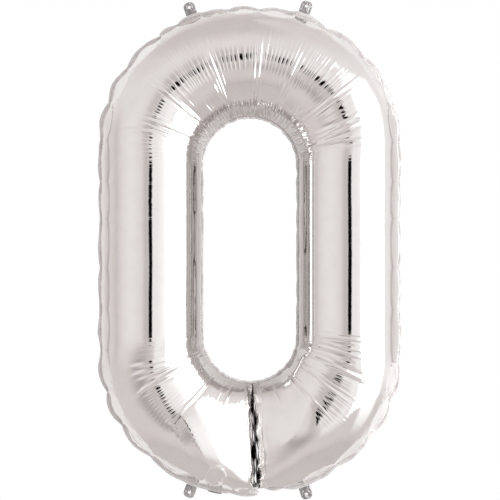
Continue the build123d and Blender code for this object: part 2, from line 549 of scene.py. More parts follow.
@dataclass
class FoilPanel:
    """One face of the balloon: a sheet of mirror-bright film, welded all round, blown tight.

    It is a thin closed skin: a fine outer layer and a coarse lining just inside it, which share
    the points along the welds.
    """

    name: str
    face: Face
    ring: Ring
    seams: Seamwork
    seed: int
    creases: tuple[Crease, ...]
    folds: tuple[Fold, ...] = ()
    bubble: tuple[float, float] | None = None
    bend_step: float = 0.30 * DEG
    leg_step: float = 4.0 * MM
    rows: int = 60
    lining_step: int = 8
    film_width: float = 267.0 * MM
    cut_size: tuple[float, float] = (0.706, 1.004)
    cut_area: float = 0.526
    weld_half: float = 0.15 * MM
    crown_pleat: float = 6.2 * MM
    crown_depth: float = 0.42 * MM
    inner_pleat: float = 3.3 * DEG
    inner_depth: float = 1.25 * MM
    end_round: float = 125.0 * MM
    end_drop: float = 0.60
    lip_width: float = 14.0 * MM
    lip_pillows: float = 3.2
    lining_height: float = 0.93
    lining_width: float = 0.96
    weld_hold: float = 20.0 * MM
    pinch_depth: float = 2.4 * MM
    pinch_width: float = 2.6 * MM
    pinch_reach: float = 18.0 * MM
    bubble_radius: float = 15.0 * MM
    bubble_height: float = 4.2 * MM
    bubble_moat: float = 1.8 * MM

    def section(self, path: Array, v: Array) -> tuple[Array, Array]:
        """The smooth tube: an arc between the welds, pushed outwards a little in the bends.

        With the chord c and the bulge b, the arc's radius is (c^2/4 + b^2) / 2b. The crown is
        shifted by crown_shift (1 - v^2) towards the outside of the bend.

        Args:
            path: path coordinates.
            v: coordinates across the film.

        Returns:
            The distance from the middle line, and the height above the plane of the welds.
        """
        ring = self.ring
        chord = ring.reach(path) - ring.near
        share = (chord - ring.leg_chord) / (ring.end_chord - ring.leg_chord)
        bulge = ring.leg_bulge + share * (ring.end_bulge - ring.leg_bulge)
        radius = (chord**2 / 4 + bulge**2) / (2 * bulge)
        half_angle = np.arcsin(np.clip(chord / 2 / radius, -1, 1))
        bend = smooth(ring.steepness(path), 0, 50 * DEG)
        distance = ring.near + chord / 2 + radius * np.sin(half_angle * v)
        distance = distance + ring.crown_shift * bend * (1 - v**2)
        return distance, radius * np.cos(half_angle * v) - (radius - bulge)

    def lip_pillow(self, path: Array, v: Array) -> tuple[Array, Array]:
        """The pillows along the closing weld, |sin(pi k)|^0.6, staggered on its two sides.

        There are lip_pillows of them for each unit of v, and k counts them.

        Args:
            path: path coordinates.
            v: coordinates across the film.

        Returns:
            The pillow's height from 0 to 1, and the distance to the nearest pinch.
        """
        right = self.ring.on_right(path)
        count = self.lip_pillows * v + 0.30 * np.sin(5.1 * v + 1.3 + 2.0 * right)
        count = count + 0.10 * np.sin(13 * v) + 0.42 * right
        away = np.abs(count - np.round(count)) * self.ring.end_chord / 2 / self.lip_pillows
        return np.abs(np.sin(math.pi * count)) ** GATHER, away

    def gap(self, path: Array, distance: Array) -> Array:
        """The distance from a point to the closing weld."""
        return self.ring.from_closing(path) * distance / self.ring.path_radius

    def rounding(self, path: Array, v: Array) -> Array:
        """The length over which the tube sinks to the slit: shorter at the left's outer edge."""
        left = self.ring.on_left(path)
        return self.end_round * (1 - 0.42 * left * smooth(v, -0.15, 0.85))

    def end_shape(self, path: Array, v: Array, gap: Array, pillow: Array) -> Array:
        """How the tube closes towards the closing weld, as a share of its full height.

        It sinks as a parabola over end_round, to 1 - end_drop, and then turns in as a quarter
        round, which is wider in the middle of a lip's pillow.

        Args:
            path: path coordinates.
            v: coordinates across the film.
            gap: distance to the closing weld.
            pillow: the lip's pillow height.

        Returns:
            The share, from 0 at the weld to 1.
        """
        left = self.ring.on_left(path)
        sink = 1 - self.end_drop * np.clip(1 - gap / self.rounding(path, v), 0, 1) ** 2
        inside = np.clip(1 - gap / (self.lip_width * (0.35 + 0.35 * pillow + 0.30 * left)), 0, 1)
        return sink * np.sqrt(np.maximum(1 - inside**2, 0))

    def base(self, path: Array, v: Array) -> Array:
        """The panel without its pleats and creases, as points.

        Args:
            path: path coordinates.
            v: coordinates across the film.

        Returns:
            The points.
        """
        distance, height = self.section(path, v)
        pillow, _ = self.lip_pillow(path, v)
        gap = self.gap(path, distance)
        flat = 1 + 0.95 * np.clip(1 - gap / self.end_round, 0, 1) ** 1.5 * v**2
        height = height * self.end_shape(path, v, gap, pillow) * flat
        return self.ring.at(path, distance, self.face.value * (height + self.weld_half))

    def lining(self, path: Array, v: Array) -> Array:
        """The lining: the smooth tube drawn in by a few millimetres, clear of every crease.

        Args:
            path: path coordinates.
            v: coordinates across the film.

        Returns:
            The points.
        """
        distance, height = self.section(path, v)
        pillow, _ = self.lip_pillow(path, v)
        height = self.lining_height * height * self.end_shape(path, v, self.gap(path, distance), pillow)
        middle = (self.ring.reach(path) + self.ring.near) / 2
        drawn = middle + self.lining_width * (distance - middle)
        return self.ring.at(path, drawn, self.face.value * (height + self.weld_half))

    def edges(self) -> Array:
        """The long creases and the ends of the bends in order along the path.

        Returns:
            The path coordinates.
        """
        ring = self.ring
        ends = (0.0, ring.right_leg, ring.top, ring.left_leg, ring.last_bend, ring.length)
        deep = [crease for crease in self.creases if crease.depth > 0.75 * MM]
        long = [ring.path_of(crease.angle) for crease in deep if crease.start < -0.9]
        return np.array(sorted([*ends, *long]))

    def facets(self, path: Array, v: Array) -> Array:
        """The inner half of a bend is flat from crease to crease, like a polygon's sides.

        In the middle of a side of half angle h, the distance falls short by 1 - cos(h)/cos(a).

        Args:
            path: path coordinates.
            v: coordinates across the film.

        Returns:
            How far the surface moves inwards, as a share of its distance.
        """
        edges = self.edges()
        i = np.clip(np.searchsorted(edges, path, side="right") - 1, 0, len(edges) - 2)
        middle = (edges[i] + edges[i + 1]) / 2
        half = (edges[i + 1] - edges[i]) / 2 / self.ring.path_radius
        angle = (path - middle) / self.ring.path_radius
        bent = smooth(self.ring.steepness(path), 12 * DEG, 23 * DEG)
        short = bent * (1 - np.cos(np.minimum(half, 0.5)) / np.cos(np.minimum(np.abs(angle), 1.0)))
        away = smooth(self.ring.from_closing(path), 50 * MM, 150 * MM)
        return np.clip(short, 0, 1) * (1 - smooth(v, -0.20, 0.25)) * smooth(v, -1.0, -0.6) * away

    def crease_lines(self, path: Array, v: Array, distance: Array) -> Array:
        """Sharp valleys with raised shoulders along the creases, tapering at their ends.

        A valley is -depth exp(-|d| / width), and its shoulders are bells beside it.

        Args:
            path: path coordinates.
            v: coordinates across the film.
            distance: distances from the middle line.

        Returns:
            How far each point moves outwards, along its normal.
        """
        total = np.zeros_like(v)
        for crease in self.creases:
            middle = (crease.start + crease.end) / 2
            line = self.ring.path_of(crease.angle) + crease.shift + crease.lean * (v - middle)
            across = np.abs(path - line) * distance / self.ring.path_radius
            along = smooth(v, crease.start, crease.start + 0.22)
            along = along * (1 - smooth(v, crease.end - 0.30, crease.end))
            shoulders = 0.30 * bell(across, 3 * crease.width, 1.8 * crease.width)
            shape = shoulders - np.exp(-across / crease.width)
            total += 0.80 * crease.depth * along * shape
        return total

    def pleat_weight(self, path: Array) -> Array:
        """How strongly the crown is pleated, from place to place along the path.

        Args:
            path: path coordinates.

        Returns:
            The weight, from 0 to 1.
        """
        ring, at = self.ring, self.ring.path_of
        table = (
            (0.0, 0.0), (at(-52), 0.0), (at(-43), 0.5), (at(-30), 0.15), (at(-22), 0.30), (at(-18), 0.06),
            (ring.top, 0.06), (at(17), 0.08), (at(21), 0.5), (at(36), 0.4), (at(41), 1.0), (at(139), 1.0),
            (at(143), 0.35), (at(157), 0.35), (at(162), 0.5), (ring.left_leg, 0.35),
            (ring.left_leg + 80 * MM, 0.34), (ring.left_leg + 130 * MM, 0.06),
            (at(198), 0.06), (at(203), 0.20), (at(207), 0.55), (at(226), 0.55), (at(231), 0.2),
            (at(238), 0.0), (ring.length, 0.0),
        )
        return np.interp(path, *zip(*table))

    def crown_pleats(self, path: Array, v: Array, grain: Grain) -> Array:
        """Fine pleats over the crown of the bends: broad flat ribs between narrow valleys.

        A rib is 0.35 - |u|^4.2, where u goes from -1 to 1 between its two valleys, and it tilts
        a little to one side. The pleats' ends are ragged, and they fade on the legs.

        Args:
            path: path coordinates.
            v: coordinates across the film.
            grain: the panel's noise.

        Returns:
            How far each point moves outwards, along its normal.
        """
        phase = path / self.crown_pleat + 1.1 * grain.line(path, 24 * MM)
        phase = phase + 0.22 * grain.field(path, v, 15 * MM, 0.15)
        number = np.floor(phase)
        part = phase - number - 0.5
        tilt = 0.036 * np.sin(number * 57.3) * self.crown_pleat * part
        weight = self.pleat_weight(path)
        reach = 0.26 * (0.3 + 0.7 * weight)
        ragged = (0.10 * np.sin(number * 12.9) + 0.06 * np.sin(number * 78.2)) * weight
        window = smooth(v + reach - ragged, -0.08, 0.07)
        window = window * (1 - smooth(v - reach - 0.8 * ragged, -0.16, 0.12))
        uneven = 0.85 + 0.40 * np.sin(number * 37.7) + 0.35 * grain.line(path, 33 * MM)
        rib = self.crown_depth * np.maximum(uneven, 0.12) * (0.35 - np.abs(2 * part) ** 4.2)
        return (rib + tilt) * window * np.sqrt(weight)

    def inner_pleats(self, path: Array, v: Array, grain: Grain) -> Array:
        """Small crisp crinkles along the inner weld, finer and stronger in the bends.

        Args:
            path: path coordinates.
            v: coordinates across the film.
            grain: the panel's noise.

        Returns:
            How far each point moves outwards, along its normal.
        """
        ring = self.ring
        phase = path / ring.path_radius / self.inner_pleat + 0.9 * grain.line(path, 14 * MM)
        phase = phase + 0.5 * grain.field(path, v, 9 * MM, 0.09)
        number = np.floor(phase)
        rib = np.abs(np.sin(math.pi * phase)) ** 0.8 - 0.6
        bend = smooth(ring.steepness(path), 0.0, 16 * DEG)
        end = -0.58 + 0.10 * np.sin(number * 45.1) + 0.06 * np.sin(number * 17.3)
        window = smooth(v, -1.0, -0.93) * (1 - smooth(v - end, -0.14, 0.10))
        broken = 0.75 + 0.5 * grain.field(path, v, 11 * MM, 0.10)
        upper = smooth(path, ring.top - 20 * MM, ring.top)
        upper = upper * (1 - smooth(path, ring.left_leg, ring.left_leg + 20 * MM))
        sides = smooth(ring.from_closing(path), 60 * MM, 200 * MM)
        weight = (0.08 + 0.26 * sides) * (1 - upper) + upper
        return self.inner_depth * rib * window * (0.20 + 0.80 * bend) * broken * weight

    def hem_lines(self, path: Array, v: Array, grain: Grain) -> Array:
        """Two fine fold lines that run along the inner weld, each a valley -exp(-|d| / width).

        Args:
            path: path coordinates.
            v: coordinates across the film.
            grain: the panel's noise.

        Returns:
            How far each point moves outwards, along its normal.
        """
        q = (1 + v) / 2 * self.film_width
        fade = 0.35 + 0.65 * (1 - smooth(self.ring.steepness(path), 5 * DEG, 30 * DEG))
        first = 34 * MM + 3.0 * MM * grain.line(path, 80 * MM) + 0.6 * MM * grain.line(path, 9 * MM)
        second = 21 * MM + 2.5 * MM * grain.line(path, 60 * MM) + 0.6 * MM * grain.line(path, 7 * MM)
        lines = 1.5 * MM * np.exp(-np.abs(q - first) / (2.2 * MM))
        lines = lines + 0.7 * MM * np.exp(-np.abs(q - second) / (1.8 * MM))
        return -lines * fade

    def pillows(self, path: Array, v: Array) -> Array:
        """The gathered band along the outer weld.

        Between two pinches the film stands out by size sin(pi q / band)^0.75, where q is its
        distance from the weld, and by a quarter of that at a pinch. A sharp line runs along the
        band's inner edge.

        Args:
            path: path coordinates.
            v: coordinates across the film.

        Returns:
            How far each point moves outwards, along its normal.
        """
        height, span, swell = self.seams.pillow(path)
        loose = self.seams.looseness(path)
        band = np.clip(0.85 * span, 27 * MM, 50 * MM) * (1 - 0.28 * loose * (1 - height))
        q = (1 - v) / 2 * self.film_width
        rise = np.sin(math.pi * np.clip(q / band, 0, 1)) ** 0.75
        size = np.clip(span * 0.085, 2.0 * MM, 4.6 * MM) * swell * loose
        line = -0.9 * MM * np.exp(-np.abs(q - band) / (2.2 * MM)) * loose
        return size * rise * (0.25 + 0.75 * height) + line

    def pinch_lines(self, path: Array, v: Array, distance: Array) -> Array:
        """Short sharp valleys that run in from each pinch of the outer weld.

        Args:
            path: path coordinates.
            v: coordinates across the film.
            distance: distances from the middle line.

        Returns:
            How far each point moves outwards, along its normal.
        """
        mark = self.seams.marks
        i = np.clip(np.searchsorted(mark, path), 1, len(mark) - 1)
        nearest = np.minimum(np.abs(path - mark[i - 1]), np.abs(mark[i] - path))
        across = nearest * distance / self.ring.path_radius
        q = (1 - v) / 2 * self.film_width
        fade = np.exp(-q / self.pinch_reach) * self.seams.looseness(path)
        return -self.pinch_depth * fade * np.exp(-across / self.pinch_width)

    def slow_waves(self, path: Array, v: Array, grain: Grain) -> Array:
        """Broad, faint unevenness of the tight film, stronger towards the welds.

        Args:
            path: path coordinates.
            v: coordinates across the film.
            grain: the panel's noise.

        Returns:
            How far each point moves outwards, along its normal.
        """
        wave = grain.field(path, v, 60 * MM, 0.45)
        short = grain.field(path, v, 24 * MM, 0.5)
        return 0.30 * MM * wave + 0.12 * MM * short * (0.3 + v**2)

    def lips(self, path: Array, v: Array, distance: Array, grain: Grain) -> Array:
        """The crumpled lips along the closing weld.

        Each lip is a row of small pillows as wide as lip_width, bounded by a crease along it,
        with a sharp pinch between one pillow and the next.

        Args:
            path: path coordinates.
            v: coordinates across the film.
            distance: distances from the middle line.
            grain: the panel's noise.

        Returns:
            How far each point moves outwards, along its normal.
        """
        gap = self.gap(path, distance)
        pillow, away = self.lip_pillow(path, v)
        right = self.ring.on_right(path)
        width = self.lip_width * (0.70 + 0.30 * right) * (0.80 + 0.25 * pillow)
        bump = np.sin(math.pi * np.clip(gap / width, 0, 1)) ** 0.8 * (0.25 + 0.75 * pillow)
        fold = np.exp(-np.abs(gap - width) / (1.3 * MM))
        pinch = np.exp(-away / (1.7 * MM)) * np.exp(-gap / (13 * MM))
        crumple = grain.field(path, v, 5 * MM, 0.07) * np.exp(-gap / (11 * MM))
        start = smooth(gap, 0, 2.5 * MM)
        return start * (2.3 * MM * bump - 1.5 * MM * fold - 2.6 * MM * pinch + 0.7 * MM * crumple)

    def plan_folds(self, points: Array) -> Array:
        """Straight folds and the round bubble that one face shows, by their place in the plan.

        Args:
            points: the points, one row for each station.

        Returns:
            How far each point moves outwards, along its normal.
        """
        x, z = points[..., 0], points[..., 2]
        total = np.zeros_like(x)
        for fold in self.folds:
            dx, dz = fold.end[0] - fold.start[0], fold.end[1] - fold.start[1]
            length = math.hypot(dx, dz)
            along = ((x - fold.start[0]) * dx + (z - fold.start[1]) * dz) / length
            across = ((x - fold.start[0]) * dz - (z - fold.start[1]) * dx) / length
            taper = smooth(along, -0.05 * length, 0.2 * length)
            taper = taper * (1 - smooth(along, 0.75 * length, 1.05 * length))
            total -= fold.depth * taper * np.exp(-np.abs(across) / fold.width)
        if self.bubble:
            out = np.hypot(x - self.bubble[0], z - self.bubble[1]) / self.bubble_radius
            total += self.bubble_height * np.clip(1 - out**2, 0, 1)
            total -= self.bubble_moat * bell(out, 1.05, 0.20)
        return total

    def surface(self, path: Array, v: Array) -> Array:
        """All the panel's points: the smooth tube, moved along its normals by every feature.

        Args:
            path: path coordinates, one row for each station.
            v: coordinates across the film, of the same shape.

        Returns:
            An array of that shape with three coordinates more.
        """
        grain = Grain(self.seed)
        points = self.base(self.bent_path(path, v), v)
        distance, _ = self.section(path, v)
        normal = self.normals(points)
        quiet = smooth(self.gap(path, distance), 6 * MM, 26 * MM)
        offset = self.crown_pleats(path, v, grain) + self.inner_pleats(path, v, grain)
        offset = offset + self.slow_waves(path, v, grain) + self.crease_lines(path, v, distance)
        offset = offset + self.hem_lines(path, v, grain)
        offset = (offset + self.pillows(path, v) + self.pinch_lines(path, v, distance)) * quiet
        offset = offset + self.lips(path, v, distance, grain)
        if self.face is Face.FRONT:
            offset = offset + self.plan_folds(points) * quiet
        edge = smooth(v, -1.0, -0.97) * (1 - smooth(v, 0.985, 1.0))
        points = points + normal * (offset * edge)[..., None]
        return self.drawn_in(points, path, v, -self.facets(path, v) * distance * quiet)

    def drawn_in(self, points: Array, path: Array, v: Array, moved: Array) -> Array:
        """Move points outwards from the middle line, and with the welds near the welds.

        A weld's own offset dies out as exp(-(q / weld_hold)^2), with the distance q from it.

        Args:
            points: the points to move.
            path: their path coordinates.
            v: their coordinates across the film.
            moved: how far each moves outwards besides.

        Returns:
            The moved points.
        """
        depth = np.zeros_like(moved)
        for weld in Weld:
            out, sway = self.seams.offsets(path, weld)
            q = (1 - weld.value * v) / 2 * self.film_width
            hold = np.exp(-((q / self.weld_hold) ** 2))
            moved, depth = moved + out * hold, depth + sway * hold
        angle, _ = self.ring.heading(path)
        shift = np.stack([moved * np.cos(angle), depth, moved * np.sin(angle)], axis=-1)
        return points + shift

    def bent_path(self, path: Array, v: Array) -> Array:
        """The path coordinate with the lips' wandering edge, which dies out away from it.

        The lips stop short of the closing weld, most at their pinches.

        Args:
            path: path coordinates.
            v: coordinates across the film.

        Returns:
            The new path coordinates.
        """
        pillow, _ = self.lip_pillow(path, v)
        wander = 1.6 * MM * np.sin(9.0 * v + 0.6) + 1.1 * MM * np.sin(21.0 * v)
        short = 0.4 * MM + 1.7 * MM * (1 - v**2) - 0.8 * MM * pillow * (0.6 + 0.4 * np.sin(17 * v))
        left = self.ring.length - path
        path = path + (wander + short) * np.exp(-path / (14 * MM))
        return path + (wander - short) * np.exp(-left / (14 * MM))

    def normals(self, points: Array) -> Array:
        """Outward normals of the smooth tube, from its tangents by central differences.

        Args:
            points: the points, one row for each station.

        Returns:
            One unit vector for each point.
        """
        along = np.gradient(points, axis=0)
        across = np.gradient(points, axis=1)
        return unit(np.cross(along, across) * self.face.value * -1)

    def build(self) -> bpy.types.Object:
        """Make the panel's mesh, with its rows closer together towards the welds.

        Returns:
            The new object.
        """
        step = self.lining_step
        stations = self.ring.stations(self.bend_step, self.leg_step, step)
        even = np.linspace(-1, 1, self.rows)
        v = 0.55 * even + 0.45 * np.sin(even * 0.43 * math.pi) / math.sin(0.43 * math.pi)
        path, across = np.meshgrid(stations, v, indexing="ij")
        fine = self.surface(path, across)
        number = np.arange(path.size).reshape(path.shape)
        lined = path[::step], across[::step]
        coarse = self.drawn_in(self.lining(*lined), *lined, np.zeros_like(lined[0]))
        inner = number.size + np.arange(coarse[..., 0].size).reshape(coarse.shape[:2])
        shared = np.zeros(inner.shape, dtype=bool)
        shared[[0, -1], :] = shared[:, [0, -1]] = True
        inner = np.where(shared, number[::step], inner)
        outside = grid_faces(*number.shape)
        body = (inner[:-1, 1:-2], inner[:-1, 2:-1], inner[1:, 2:-1], inner[1:, 1:-2])
        inside = np.stack([corner.ravel() for corner in body], axis=1)
        runs = np.arange(0, len(stations) - 1, step)[:, None] + np.arange(step + 1)
        low = np.concatenate([runs * self.rows, inner[1:, 1:2], inner[:-1, 1:2]], axis=1)
        last = runs * self.rows + self.rows - 1
        high = np.concatenate([last, inner[1:, -2:-1], inner[:-1, -2:-1]], axis=1)
        points = np.concatenate([fine.reshape(-1, 3), coarse.reshape(-1, 3)])
        used = np.ones(len(points), dtype=bool)
        used[number.size:] = ~shared.ravel()
        new_number = np.cumsum(used) - 1
        blocks = [new_number[block] for block in (outside, inside, low[:, ::-1], high)]
        if self.face is Face.FRONT:
            blocks = [block[:, ::-1] for block in blocks]
        return add_piece(self.name, points[used], *blocks)


@dataclass
class RimBand:
    """A flat welded rim: a closed band that follows its weld and ripples towards its free edge."""

    name: str
    weld: Weld
    ring: Ring
    seams: Seamwork
    width: float
    thickness: float = 0.30 * MM
    lap: float = 0.8 * MM
    columns: int = 5

    def build(self) -> bpy.types.Object:
        """Make the band: a front and a back skin over the same grid, joined along both edges.

        Returns:
            The new object.
        """
        ring = self.ring
        stations = ring.stations(0.5 * DEG, 4 * MM)
        t = np.linspace(0, 1, self.columns)
        path, across = np.meshgrid(stations, t, indexing="ij")
        out, sway = self.seams.offsets(path, self.weld)
        line = ring.reach(path) if self.weld is Weld.OUTER else np.full_like(path, ring.near)
        grain = Grain(41 + self.weld.value)
        ripple = 0.5 * MM * grain.line(path, 8 * MM) + 0.35 * MM * grain.line(path, 3.6 * MM)
        steady = self.seams.steady(path) if self.weld is Weld.OUTER else 0
        share = 0.66 + 0.20 * grain.line(path, 14 * MM) * (1 - steady) + 0.34 * steady
        reach = across * (self.width * share + self.lap) - self.lap
        reach = line + out + self.weld.value * reach
        depth = sway + ripple * across**1.5 * (1 - steady)
        front = ring.at(path, reach, depth - self.thickness / 2)
        back = ring.at(path, reach, depth + self.thickness / 2)
        loop = np.concatenate([front, back[:, ::-1]], axis=1)
        faces = grid_faces(*loop.shape[:2], closed_rows=True, closed_columns=True)
        if self.weld is Weld.OUTER:
            faces = faces[:, ::-1]
        return add_piece(self.name, loop.reshape(-1, 3), faces)


@dataclass
class ClosingWeld:
    """The weld that joins the ring's two ends, a thin crinkled band down in the slit."""

    name: str
    ring: Ring
    seams: Seamwork
    half_width: float = 1.6 * MM
    thickness: float = 0.30 * MM
    short: float = 6.0 * MM
    rows: int = 130

    def build(self) -> bpy.types.Object:
        """Make the band: a closed loop of points carried from the inner weld to the outer one.

        Returns:
            The new object.
        """
        ring = self.ring
        low, high = ring.near, float(ring.reach(np.zeros(1))[0]) - self.short
        loop = np.array([-1.0, -0.4, 0.4, 1.0, 1.0, 0.4, -0.4, -1.0])
        side = np.array([-1.0, -1.0, -1.0, -1.0, 1.0, 1.0, 1.0, 1.0])
        distance, across = np.meshgrid(np.linspace(low, high, self.rows), loop, indexing="ij")
        grain = Grain(51)
        sway = 0.8 * MM * grain.line(distance, 9 * MM)
        wander = 0.5 * MM * grain.line(distance, 13 * MM)
        angle, height = ring.heading(np.zeros_like(distance))
        beside = wander + across * self.half_width
        x = distance * np.cos(angle) - beside * np.sin(angle)
        z = height + distance * np.sin(angle) + beside * np.cos(angle)
        y = sway + side * self.thickness / 2
        points = np.stack([x, y, z], axis=-1)
        faces = grid_faces(*points.shape[:2], closed_columns=True)
        number = np.arange(points[..., 0].size).reshape(points.shape[:2])
        return add_piece(self.name, points.reshape(-1, 3), faces, number[:1], number[-1:, ::-1])


@dataclass
class RimPlace:
    """A place on the outer rim, with its own directions: along the rim and straight out."""

    x: float
    side: int
    ring: Ring

    def __post_init__(self) -> None:
        """Find the place on the rim's ellipse and the outward direction there."""
        half_width = self.ring.weld_width + self.ring.rim
        rise = self.ring.end_rise * math.sqrt(1 - (self.x / half_width) ** 2)
        self.origin = np.array([self.x, 0, self.side * (self.ring.outer_spring + rise)])
        out = np.array([self.x / half_width**2, 0, self.side * rise / self.ring.end_rise**2])
        self.out = out / np.linalg.norm(out)
        self.along = np.array([self.out[2], 0, -self.out[0]]) * self.side

    def at(self, along: Array, out: Array, depth: Array) -> Array:
        """Points by their distances along the rim, outwards from it, and along Y.

        Args:
            along: distances along the rim.
            out: distances outwards from it.
            depth: distances along Y.

        Returns:
            The points, with their coordinates along the last axis.
        """
        flat = self.origin + along[..., None] * self.along + out[..., None] * self.out
        flat[..., 1] += depth
        return flat


@dataclass
class HangTab:
    """A welded ear of crumpled film with a punched hole, standing out from the rim.

    Each of its crumples is a depth, and how far apart its waves are along the rim and outwards.
    """

    name: str
    place: RimPlace
    seed: int
    width: float = 20.0 * MM
    length: float = 22.0 * MM
    root: float = 0.6 * MM
    tip_radius: float = 8.0 * MM
    hole_at: float = 13.0 * MM
    hole_radius: float = 2.5 * MM
    thickness: float = 0.35 * MM
    rays: int = 120
    rings: int = 16
    crumples: tuple[tuple[float, float, float], ...] = (
        (1.0 * MM, 6.0 * MM, 7.0 * MM),
        (0.55 * MM, 2.4 * MM, 2.2 * MM),
        (0.30 * MM, 1.2 * MM, 1.1 * MM),
    )

    def outline(self, turn: Array) -> Array:
        """The distance from the hole's middle to the tab's edge, by direction.

        The edge is a rectangle with two rounded corners: its half width is narrowed near the
        tip by r - sqrt(r^2 - s^2), where s is how far a point is past the corners' centres.

        Args:
            turn: directions in radians, 0 towards the root.

        Returns:
            An array of the shape of turn.
        """
        half, straight = self.width / 2, self.length - self.tip_radius
        root, side = np.linspace(0, half, 40), np.linspace(0, straight, 60)
        bend = np.linspace(0, math.pi / 2, 60)
        corner_x = half - self.tip_radius * (1 - np.cos(bend))
        corner_z = straight + self.tip_radius * np.sin(bend)
        x = np.concatenate([root, np.full_like(side, half), corner_x, [0]])
        z = np.concatenate([np.zeros_like(root), side, corner_z, [self.length]])
        z = z - self.hole_at
        edge_turn, edge = np.arctan2(x, -z), np.hypot(x, z)
        return np.interp(np.abs(turn), edge_turn, edge)

    def build(self) -> bpy.types.Object:
        """Make the tab: rays from the hole to the edge on both faces, joined at hole and edge.

        Returns:
            The new object.
        """
        turn = np.linspace(-math.pi, math.pi, self.rays, endpoint=False)
        share = np.linspace(0, 1, self.rings)
        turns, shares = np.meshgrid(turn, share, indexing="ij")
        reach = self.hole_radius + shares * (self.outline(turns) - self.hole_radius)
        along = reach * np.sin(turns)
        out = self.root + self.hole_at - reach * np.cos(turns)
        grain = Grain(self.seed)
        held = smooth(out, 0, 5 * MM)
        crumple = sum(depth * grain.field(along, out, *steps) for depth, *steps in self.crumples)
        front = self.place.at(along, out, crumple * held - self.thickness / 2)
        back = self.place.at(along, out, crumple * held + self.thickness / 2)
        loop = np.concatenate([front, back[:, ::-1]], axis=1)
        faces = grid_faces(*loop.shape[:2], closed_rows=True, closed_columns=True)
        if self.place.side > 0:
            faces = faces[:, ::-1]
        return add_piece(self.name, loop.reshape(-1, 3), faces)


@dataclass
class TailFilm:
    """One film of the filling tail, folded back behind the rim, puckered at its side welds."""

    name: str
    place: RimPlace
    face: int
    seed: int
    width: float = 25.0 * MM
    length: float = 44.6 * MM
    root: float = 0.8 * MM
    clear: float = 1.5 * MM
    thickness: float = 0.25 * MM
    swell: float = 0.50 * MM

    def build(self) -> bpy.types.Object:
        """Make the film: both of its faces over one grid, joined all round.

        It stands off its partner by swell (1 - u^2) between its side welds.

        Returns:
            The new object.
        """
        u, w = np.meshgrid(np.linspace(-1, 1, 22), np.linspace(0, 1, 40), indexing="ij")
        grain = Grain(self.seed)
        ripple = 0.22 * MM * grain.field(u, w, 0.30, 0.10)
        ripple = ripple + 0.10 * MM * grain.field(u, w, 0.13, 0.05)
        rise = self.face * (self.thickness + self.swell * (1 - u**2)) + ripple * smooth(w, 0, 0.1)
        along = u * self.width / 2
        depth = self.root + w * self.length
        outer = self.place.at(along, self.clear + rise + self.thickness / 2, depth)
        inner = self.place.at(along, self.clear + rise - self.thickness / 2, depth)
        number = np.arange(u.size).reshape(u.shape)
        faces = grid_faces(*u.shape)
        rim = np.concatenate([number[:, 0], number[-1, 1:], number[-2::-1, -1], number[0, -2:0:-1]])
        other = rim + u.size
        sides = np.stack([rim, np.roll(rim, -1), np.roll(other, -1), other], axis=1)
        points = np.concatenate([outer.reshape(-1, 3), inner.reshape(-1, 3)])
        return add_piece(self.name, points, faces[:, ::-1], faces + u.size, sides)


# --- materials ----------------------------------------------------------------------------------


class Wire:
    """The value of a socket, so that shader maths is written as an expression."""

    def __init__(self, tree: bpy.types.NodeTree, socket: bpy.types.NodeSocket) -> None:
        """Hold one output socket of a tree."""
        self.tree = tree
        self.socket = socket

    def maths(self, operation: str, *values: "Wire | float") -> "Wire":
        """Add a Math node on this value and others.

        Args:
            operation: Blender's name for it.
            values: the node's inputs, in order.

        Returns:
            Its result.
        """
        node = self.tree.nodes.new("ShaderNodeMath")
        node.operation = operation
        for value, socket in zip(values, node.inputs):
            if isinstance(value, Wire):
                self.tree.links.new(value.socket, socket)
            else:
                socket.default_value = value
        return Wire(self.tree, node.outputs[0])

    def __add__(self, other: "Wire | float") -> "Wire":
        """Sum."""
        return self.maths("ADD", self, other)

    def __radd__(self, other: float) -> "Wire":
        """Sum, with the number first."""
        return self.maths("ADD", other, self)

    def __sub__(self, other: "Wire | float") -> "Wire":
        """Difference."""
        return self.maths("SUBTRACT", self, other)

    def __rsub__(self, other: float) -> "Wire":
        """Difference, with the number first."""
        return self.maths("SUBTRACT", other, self)

    def __mul__(self, other: "Wire | float") -> "Wire":
        """Product."""
        return self.maths("MULTIPLY", self, other)

    def __rmul__(self, other: float) -> "Wire":
        """Product, with the number first."""
        return self.maths("MULTIPLY", other, self)

    def step(self, low: float, high: float) -> "Wire":
        """A smooth step from 0 at low to 1 at high.

        Args:
            low: where the step starts.
            high: where it ends.

        Returns:
            The value of the step.
        """
        node = self.tree.nodes.new("ShaderNodeMapRange")
        node.interpolation_type = "SMOOTHSTEP"
        self.tree.links.new(self.socket, node.inputs["Value"])
        node.inputs["From Min"].default_value = low
        node.inputs["From Max"].default_value = high
        return Wire(self.tree, node.outputs["Result"])

    def hump(self, middle: float, width: float) -> "Wire":
        """A smooth bump of height 1 at middle that ends at width to either side."""
        away = (self - middle).maths("ABSOLUTE", self - middle)
        return 1 - away.step(0, width)


